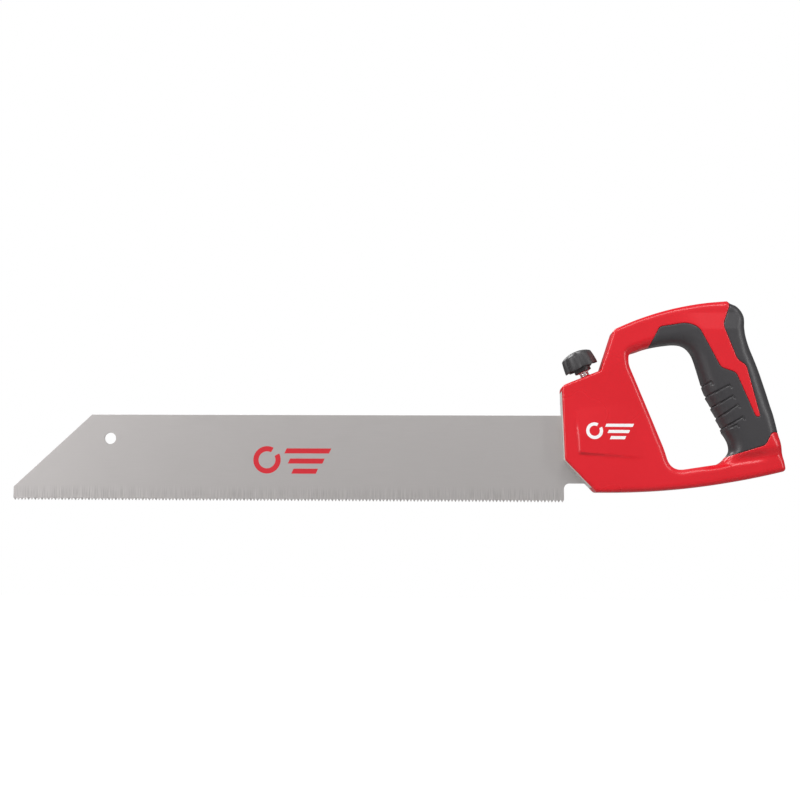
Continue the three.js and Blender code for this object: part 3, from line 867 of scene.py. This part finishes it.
def hollow_hub(bore, radius, low, high, sides=64):
    profile = [(bore, high), (bore, low + 0.3), (bore + 0.3, low), (radius - 0.4, low),
               (radius, low + 0.4), (radius, high)]
    points, faces = [], []
    for r, z in profile:
        points += [on_stud(r * math.cos(2 * math.pi * k / sides), r * math.sin(2 * math.pi * k / sides), z)
                   for k in range(sides)]
    rows = len(profile)
    for a in range(rows):
        b = (a + 1) % rows
        faces += [(a * sides + k, a * sides + (k + 1) % sides, b * sides + (k + 1) % sides, b * sides + k)
                  for k in range(sides)]
    return points, faces


black_nylon = moulded_plastic("black nylon", (0.033, 0.031, 0.033), (0.043, 0.041, 0.043), 0.46, 1500, 0.03)
webs = [web(math.radians(30 + 60 * k), 0.7, 6.2, 11.0, 8.2, 16.6) for k in range(6)]
knob = joined("clamp_knob", knob_mesh(), hollow_hub(4.35, 7.0, 4.4, 16.8), *webs)
knob.data.materials.append(black_nylon)
smooth(knob, 35)
insert = joined("knob_insert", hollow_hub(4.05, 6.0, 4.1, 5.2))
insert.data.materials.append(plated)
smooth(insert, 35)
for piece, name in ((knob, "knob"), (insert, "hardware")):
    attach(piece, "knob")
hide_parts("clamp_knob")


# ---------------------------------------------------------------- casing screws
# Six steel screws, driven from the right into bosses in the left shell. Each has a low domed head
# with a six-lobed socket and sits at the bottom of a counterbore.

def screw_profile():
    seat = 6.3
    sides = 48
    heights = [(2.0, -7.0, 0), (2.0, seat, 0), (3.5, seat, 0), (3.8, seat + 0.3, 0), (3.8, seat + 1.2, 0),
               (3.5, seat + 1.9, 0), (2.8, seat + 2.4, 0), (2.35, seat + 2.6, 0),
               (2.1, seat + 2.5, 1), (2.1, seat + 1.0, 1)]
    points = [(0, -8.0, 0)]
    faces = []
    for radius, y, lobes in heights:
        for k in range(sides):
            turn = 2 * math.pi * k / sides
            r = radius + (0.3 * math.cos(6 * turn) - 0.3 if lobes else 0)
            points.append((r * math.cos(turn), y, r * math.sin(turn)))
    points.append((0, seat + 1.0, 0))
    for k in range(sides):
        n = (k + 1) % sides
        faces.append((0, 1 + k, 1 + n))
        for row in range(len(heights) - 1):
            a, b = 1 + row * sides, 1 + (row + 1) * sides
            faces.append((a + k, b + k, b + n, a + n))
        last = 1 + (len(heights) - 1) * sides
        faces.append((last + k, len(points) - 1, last + n))
    return points, faces


def scatter_tree(material):
    """One screw for every point of the object's mesh."""
    t = geometry_tree("screws", Size=1.0)
    group = t.tree
    group.interface.new_socket("Screw", in_out="INPUT", socket_type="NodeSocketObject")
    screw = t.inputs["Screw"]
    shape = t.add("GeometryNodeObjectInfo", {"Object": screw})
    many = t.add("GeometryNodeInstanceOnPoints", {"Points": t.inputs["Geometry"],
                                                  "Instance": shape.outputs["Geometry"],
                                                  "Scale": t.inputs["Size"]})
    real = t.add("GeometryNodeRealizeInstances", {0: many.outputs[0]})
    faced = t.add("GeometryNodeSetMaterial", {"Geometry": real.outputs[0], "Material": material})
    t.add("NodeGroupOutput", {0: faced.outputs[0]})
    return t


pattern_points, pattern_faces = screw_profile()
pattern_mesh = bpy.data.meshes.new("screw pattern")
pattern_mesh.from_pydata([(x * MM, y * MM, z * MM) for x, y, z in pattern_points], [], pattern_faces)
pattern = put(bpy.data.objects.new("screw pattern", pattern_mesh))
screws = mesh_piece("casing_screws", [(x, 0, z) for x, z in screw_places], [])
screws = run_tree(screws, scatter_tree(plated), Size=1.0, Screw=pattern)
bpy.data.objects.remove(pattern)
smooth(screws, 35)
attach(screws, "handle")
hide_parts(*[f"casing_screw_{i + 1}" for i in range(6)])


# ---------------------------------------------------------------- printed marks
# A plain mark of a cut pipe ring and three cutting strokes: white on each side of the handle, pad
# printed on the raised panel, and red on the left of the blade, screen printed.

def mark_shapes(x, z, size):
    """The ring and strokes as closed loops, centred on x, z and size wide."""
    ring_x, radius = x - 0.32 * size, 0.19 * size
    ring = arc(ring_x, z, radius, 62, 388, 60) + arc(ring_x, z, radius * 0.62, 388, 62, 50)
    shapes = [ring]
    for row, length in enumerate((0.62, 0.48, 0.34)):
        low = z + (0.125 - 0.14 * row) * size - 0.035 * size
        left = x - 0.08 * size + row * 0.05 * size
        lean = 0.03 * size
        shapes.append([(left, low), (left + length * size, low),
                       (left + length * size + lean, low + 0.07 * size), (left + lean, low + 0.07 * size)])
    return shapes


def printed(name, shapes, surface, thickness, step):
    """Ink of even thickness that lies on surface(points), the height of a side at each point."""
    points, faces = [], []
    for shape in shapes:
        loop = even(np.array(list(shape) + [shape[0]], float), step)[:-1]
        low, high = loop.min(axis=0), loop.max(axis=0)
        xs, zs = np.meshgrid(np.arange(low[0], high[0], step * 1.5), np.arange(low[1], high[1], step * 1.5))
        field = np.column_stack([xs.ravel(), zs.ravel()])
        field = field[inside_distance(field, loop) > step * 0.6]
        ring_edges = [(i, (i + 1) % len(loop)) for i in range(len(loop))]
        flat = [Vector(p) for p in np.concatenate([loop, field])]
        verts, _, plan, *_ = delaunay_2d_cdt(flat, ring_edges, [], 0, 1e-6, False)
        flat = np.array([tuple(v) for v in verts])
        middle = flat[np.array([f[:3] for f in plan])].mean(axis=1)
        inside = inside_distance(middle, loop) > 0
        height = surface(flat)
        start, count = len(points), len(flat)
        points += [(x, -(h + thickness), z) for (x, z), h in zip(flat, height)]
        points += [(x, -(h - 0.1), z) for (x, z), h in zip(flat, height)]
        seen = set()
        for f, wanted in zip(plan, inside):
            if not wanted:
                continue
            a, b, c = (flat[i] for i in f[:3])
            left_turn = (b[0] - a[0]) * (c[1] - a[1]) - (b[1] - a[1]) * (c[0] - a[0]) > 0
            f = tuple(f[:3]) if left_turn else tuple(reversed(f[:3]))
            faces.append(tuple(start + i for i in f))
            faces.append(tuple(start + count + i for i in reversed(f)))
            seen.update(zip(f, f[1:] + f[:1]))
        faces += [(start + j, start + i, start + count + i, start + count + j)
                  for i, j in seen if (j, i) not in seen]
    return points, faces


def ink(name, dark, light):
    return moulded_plastic(name, dark, light, 0.45, 3000, 0.004)


white_ink = ink("white ink", (0.80, 0.80, 0.80), (0.88, 0.88, 0.88))
red_ink = ink("red ink", (0.52, 0.010, 0.020), (0.60, 0.014, 0.028))
handle_mark = printed("mark", mark_shapes(35.5, 58, 36), half_thickness, 0.04, 0.6)
for side, sign in (("left", -1), ("right", 1)):
    points, faces = handle_mark if sign < 0 else mirrored(*handle_mark)
    mark = mesh_piece(f"handle_mark_{side}", points, faces)
    mark.data.materials.append(white_ink)
    smooth(mark, 30)
    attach(mark, "handle")
points, faces = printed("mark", mark_shapes(-226, 34, 60), lambda p: np.full(len(p), 0.6), 0.03, 1.2)
blade_mark = mesh_piece("blade_mark", points, faces)
blade_mark.data.materials.append(red_ink)
smooth(blade_mark, 30)
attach(blade_mark, "blade")


# ---------------------------------------------------------------- studio
# A plain pale floor below the saw, soft boxes to the left, right and above, a fill from behind, and
# a room that is bright overhead and dimmer behind, so that the flat sides keep their colour.

world = bpy.data.worlds.new("studio")
bpy.context.scene.world = world
world.use_nodes = True
room = Tree(world.node_tree)
back = world.node_tree.nodes["Background"]
direction = room.add("ShaderNodeTexCoord").outputs["Generated"]
way = room.add("ShaderNodeSeparateXYZ", {0: direction}).outputs
forward = room.add("ShaderNodeMapRange", {"Value": way["Y"], "From Min": -1.0, "From Max": 0.4,
                                          "To Min": 0.54, "To Max": 0.14})
upward = room.add("ShaderNodeMapRange", {"Value": way["Z"], "From Min": -0.7, "From Max": 1.0,
                                         "To Min": 0.45, "To Max": 1.7})
lit = room.math("MULTIPLY", forward.outputs[0], upward.outputs[0])
shown = room.add("ShaderNodeMixRGB", {0: room.add("ShaderNodeLightPath").outputs["Is Camera Ray"],
                                      1: lit, 2: (1, 1, 1, 1)})
world.node_tree.links.new(shown.outputs[0], back.inputs["Color"])
back.inputs["Strength"].default_value = 1.0
bpy.context.scene.view_settings.view_transform = "Standard"

camera_data = bpy.data.cameras.new("camera")
camera_data.lens = 55
camera_data.sensor_width = 36
camera = put(bpy.data.objects.new("camera", camera_data))
target = Vector((0.0044, 0, 0.0842))
azimuth, elevation, distance = math.radians(2.2), math.radians(-6), 1.016
look = Vector((math.sin(azimuth) * math.cos(elevation), -math.cos(azimuth) * math.cos(elevation),
               math.sin(elevation)))
camera.location = target + look * distance
camera.rotation_mode = "QUATERNION"
roll = Matrix.Rotation(math.radians(0.34), 3, "Z").to_quaternion()
camera.rotation_quaternion = look.to_track_quat("Z", "Y") @ roll
bpy.context.scene.camera = camera


def soft_light(name, place, aim, size, power):
    lamp = bpy.data.lights.new(name, "AREA")
    lamp.shape = "RECTANGLE"
    lamp.size, lamp.size_y = size
    lamp.energy = power
    obj = put(bpy.data.objects.new(name, lamp))
    obj.location = place
    obj.rotation_mode = "QUATERNION"
    obj.rotation_quaternion = (Vector(place) - Vector(aim)).to_track_quat("Z", "Y")


soft_light("left box", (-1.3, -0.9, 0.6), (0.1, 0, 0.08), (0.3, 1.2), 14)
soft_light("right box", (1.5, -0.9, 0.5), (0.1, 0, 0.08), (0.3, 1.2), 8)
soft_light("overhead", (0.0, -0.9, 1.2), (0.0, 0, 0.09), (1.4, 0.3), 9.5)
soft_light("rear fill", (-0.8, 1.0, 1.5), (0.0, 0, 0.09), (1.2, 0.8), 24)

floor_corners = [(-3000, -3000, -250), (3000, -3000, -250), (3000, 3000, -250), (-3000, 3000, -250)]
floor = mesh_piece("floor", floor_corners, [(0, 1, 2, 3)])
pale = bpy.data.materials.new("pale floor")
pale.use_nodes = True
shader = pale.node_tree.nodes["Principled BSDF"]
shader.inputs["Base Color"].default_value = (0.4, 0.4, 0.4, 1)
shader.inputs["Roughness"].default_value = 0.9
shader.inputs["Emission Color"].default_value = (1, 1, 1, 1)
seen = Tree(pale.node_tree).add("ShaderNodeLightPath").outputs["Is Camera Ray"]
pale.node_tree.links.new(seen, shader.inputs["Emission Strength"])
floor.data.materials.append(pale)
